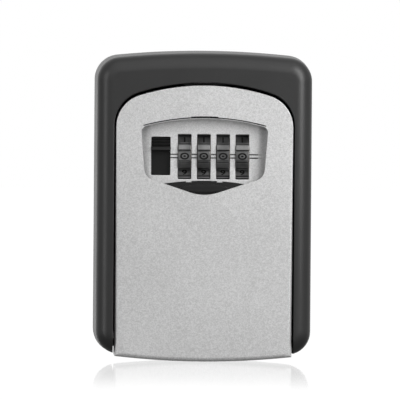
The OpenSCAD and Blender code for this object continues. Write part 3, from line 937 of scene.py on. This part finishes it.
def make_slider():
    """Plate behind the panel with its thumb and rivet holes."""
    front, back = PANEL_BACK + 0.2, slider_high.y
    plate = slab(frame_of((slider_low.x, slider_high.x), (slider_low.z, slider_high.z), 0.6), front, back)
    half = SLIDER_W / 2 - 0.1
    welded(plate, bar_x("thumb", thumb_profile(front + OVERLAP), (SLIDER_X - half, SLIDER_X + half)))
    for side in SIDES:
        x, z = SLIDER_X + side * RIVET_DX, slider_high.z - RIVET_DROP
        carved(plate, pin_y((front - 1, back + 1), RIVET_HOLE_R, x, z))
    softened(plate, 0.1, segments=2, angle=35)
    return finished(plate, "open_slider_thumb", "latch", ["open_slider"], slider_plastic)


def make_shutter():
    """Blade with an arched top, two notches and an oval thumb pad."""
    front, back = SKIN_BACK + 0.2, shutter_high.y
    half, top = shutter_high.x, shutter_high.z
    reach = math.degrees(math.asin(half / SHUTTER_ARCH_R))
    outline = chained(
        arc((0, top - SHUTTER_ARCH_R), SHUTTER_ARCH_R, 90 - reach, 90 + reach, 24),
        [(-half, shutter_low.z), (half, shutter_low.z)],
    )
    blade = pillow(outline, front, back, 0.2, 2)
    oval = [(x, top - PAD_DROP + z) for x, z in ellipse(*PAD_HALF, 48)]
    welded(blade, pillow(oval, shutter_low.y, front + OVERLAP, 0.4, 3))
    for side in SIDES:
        x = (side * NOTCH_X - NOTCH_HALF, side * NOTCH_X + NOTCH_HALF)
        carved(blade, block(x, (front - 1, back + 1), (top - NOTCH_DEPTH, top + 1)))
    return finished(blade, "shutter_blade", "shutter", ["shutter"], shutter_plastic)


# ---------------------------------------------------------------- pieces kept from the frame

kept_finish = {
    "rear_housing": housing_coat,
    "bumper_screws": zinc,
    "latch_strike": zinc,
    "strike_screws": zinc,
    "hinge_pin": bright,
    "panel_screws": zinc,
    "mechanism_cover": cover_coat,
    "cover_screws": zinc,
    # latch plate: dark finish that also paints in the shade of the gap above the door
    "latch_plate": dark_steel_and_gap_shade,
    "latch_rivets": bright,
    "latch_springs": spring_wire,
    "dial_axle": bright,
    "axle_clip": spring_wire,
    "shift_collar": brass,
    "change_lever": brass,
    "hub_spring": spring_wire,
    "detent_spring": spring_wire,
    **{f"dial_hub_{i}": brass for i in range(1, 5)},
}
bevelled = {
    "rear_housing": 0.4, "latch_strike": 0.2, "mechanism_cover": 0.25, "latch_plate": 0.15,
    "change_lever": 0.12, "shift_collar": 0.12,
}


def finish_kept_pieces():
    """Gives each remaining CAD piece its finish, and some of them softened edges."""
    for name, finish in kept_finish.items():
        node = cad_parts[name]
        node.data.materials.clear()
        node.data.materials.append(finish)
        if name in bevelled:
            weld = node.modifiers.new("weld", "WELD")
            weld.merge_threshold = 1e-6
            bevel = node.modifiers.new("bevel", "BEVEL")
            bevel.width = bevelled[name] * MM
            bevel.segments = 2
            bevel.limit_method = "ANGLE"
            bevel.angle_limit = math.radians(40)


# ---------------------------------------------------------------- studio

TARGET = spot(-1.6, door_low.y, 61.55)
VIEW_WIDTH = 152.2 * MM
DISTANCE = 5.0
AZIMUTH = -1.3
ELEVATION = 1.2
ROLL = 0.43
FRONT_WORLD = 0.5
REAR_START = (0.5, 0.95)
LOW_WORLD = 0.4
LOW_END = (-0.35, -0.06)
LAMPS = {
    "right box": {"azimuth": 46, "elevation": 24, "distance": 0.3, "size": (0.1, 0.25), "power": 0.6},
    "left box": {"azimuth": -57, "elevation": 4, "distance": 1.2, "size": (0.25, 1.0), "power": 4.0},
    "top box": {"azimuth": 15, "elevation": 48, "distance": 0.6, "size": (1.0, 1.0), "power": 2.0},
}
FLOOR_HALF = 4.0
FLOOR_GLOSS = 0.39
GLOSS_FADE = (0.12, 0.42)
BOARD_GAP = 3
BOARD_GLOW = 1.1
BOARD_SHADOW = 0.12


def direction(azimuth, elevation):
    """Unit vector from the safe towards a compass place, as the camera angles are counted."""
    a, e = math.radians(azimuth), math.radians(elevation)
    return Vector((math.sin(a) * math.cos(e), -math.cos(a) * math.cos(e), math.sin(e)))


def make_camera():
    """Long lens straight at the door, slightly turned, raised and rolled."""
    lens_data = bpy.data.cameras.new("camera")
    lens_data.sensor_width = 36
    lens_data.lens = lens_data.sensor_width * DISTANCE / VIEW_WIDTH
    lens_data.clip_start = 0.05
    lens_data.clip_end = 100
    camera = bpy.data.objects.new("camera", lens_data)
    bpy.context.scene.collection.objects.link(camera)
    back = direction(AZIMUTH, ELEVATION)
    camera.location = TARGET + back * DISTANCE
    turn = (-back).to_track_quat("-Z", "Y").to_matrix()
    roll = Euler((0, 0, math.radians(ROLL))).to_matrix()
    camera.rotation_euler = (turn @ roll).to_euler()
    bpy.context.scene.camera = camera


def softbox(name, azimuth, elevation, distance, size, power):
    """Soft rectangular lamp that points at the safe."""
    lamp_data = bpy.data.lights.new(name, "AREA")
    lamp_data.shape = "RECTANGLE"
    lamp_data.size, lamp_data.size_y = size
    lamp_data.energy = power
    lamp = bpy.data.objects.new(name, lamp_data)
    bpy.context.scene.collection.objects.link(lamp)
    back = direction(azimuth, elevation)
    lamp.location = TARGET + back * distance
    lamp.rotation_euler = (-back).to_track_quat("-Z", "Y").to_euler()


def ramp_node(tree, value, limits):
    """Smooth step of a world value from (start, end) to (low, high)."""
    step = tree.nodes.new("ShaderNodeMapRange")
    step.interpolation_type = "SMOOTHSTEP"
    for key, number in zip(("From Min", "From Max", "To Min", "To Max"), limits):
        step.inputs[key].default_value = number
    tree.links.new(value, step.inputs["Value"])
    return step.outputs[0]


def make_world():
    """White studio: full white behind the safe, softer around it and dim below."""
    world = bpy.data.worlds.new("studio")
    bpy.context.scene.world = world
    world.use_nodes = True
    tree = world.node_tree
    tree.nodes.clear()
    place = tree.nodes.new("ShaderNodeTexCoord")
    split = tree.nodes.new("ShaderNodeSeparateXYZ")
    tree.links.new(place.outputs["Generated"], split.inputs[0])
    around = ramp_node(tree, split.outputs["Y"], (*REAR_START, FRONT_WORLD, 1))
    below = ramp_node(tree, split.outputs["Z"], (*LOW_END, LOW_WORLD, 1))
    product = tree.nodes.new("ShaderNodeMath")
    product.operation = "MULTIPLY"
    tree.links.new(around, product.inputs[0])
    tree.links.new(below, product.inputs[1])
    light = tree.nodes.new("ShaderNodeBackground")
    tree.links.new(product.outputs[0], light.inputs["Strength"])
    light.inputs["Color"].default_value = (1, 1, 1, 1)
    output = tree.nodes.new("ShaderNodeOutputWorld")
    tree.links.new(light.outputs[0], output.inputs["Surface"])


def floor_sheet(name, level, surface):
    """Square sheet at one height that is clear from below."""
    half = FLOOR_HALF
    mesh = bpy.data.meshes.new(name)
    corners = [(-half, -half), (half, -half), (half, half), (-half, half)]
    mesh.from_pydata([(x, y, level) for x, y in corners], [], [(0, 1, 2, 3)])
    sheet = bpy.data.objects.new(name, mesh)
    bpy.context.scene.collection.objects.link(sheet)
    f = surface.finish
    clear = f.node("BsdfTransparent", {}, {"Color": (1, 1, 1, 1)})
    underside = f.node("NewGeometry", out="Backfacing")
    f.plug(f.node("MixShader", {}, {0: underside, 1: surface, 2: clear}))
    mesh.materials.append(f.material)
    sheet.visible_diffuse = False
    sheet.visible_glossy = False


def make_floor():
    """Clear sheet that mirrors the safe faintly and fades out, over a white board below the open door."""
    f = Finish("clear sheet")
    away = f.node("VectorMath", {"operation": "LENGTH"}, {0: f.place}, out="Value")
    grazing = f.node("Fresnel", {}, {"IOR": 1.45})
    sheen = FLOOR_GLOSS * grazing * (1 - f.band(away, *GLOSS_FADE))
    clear = f.node("BsdfTransparent", {}, {"Color": (1, 1, 1, 1)})
    gloss = f.node("BsdfGlossy", {}, {"Color": (1, 1, 1, 1), "Roughness": 0.035})
    floor_sheet("clear sheet", cad_bounds[0].z, f.node("MixShader", {}, {0: sheen, 1: clear, 2: gloss}))
    f = Finish("white board")
    white = f.node("Emission", {}, {"Color": (1, 1, 1, 1), "Strength": BOARD_GLOW})
    matte = f.node("BsdfDiffuse", {}, {"Color": (0.9, 0.9, 0.9, 1)})
    open_foot = pin_mid.z - (pin_mid.y - door_low.y)
    floor_sheet("white board", spot(0, 0, open_foot - BOARD_GAP).z,
                f.node("MixShader", {}, {0: BOARD_SHADOW, 1: white, 2: matte}))


make_camera()
make_surround()
make_door()
make_panel()
number_shapes = [glyph(digit) for digit in range(DIGITS)]
for wheel in range(4):
    make_wheel(wheel)
    make_numerals(wheel, number_shapes)
make_slider()
make_shutter()
finish_kept_pieces()
make_floor()
make_world()
for lamp_name, lamp_values in LAMPS.items():
    softbox(lamp_name, **lamp_values)

scene = bpy.context.scene
scene.view_settings.view_transform = "Standard"
scene.view_settings.look = "None"
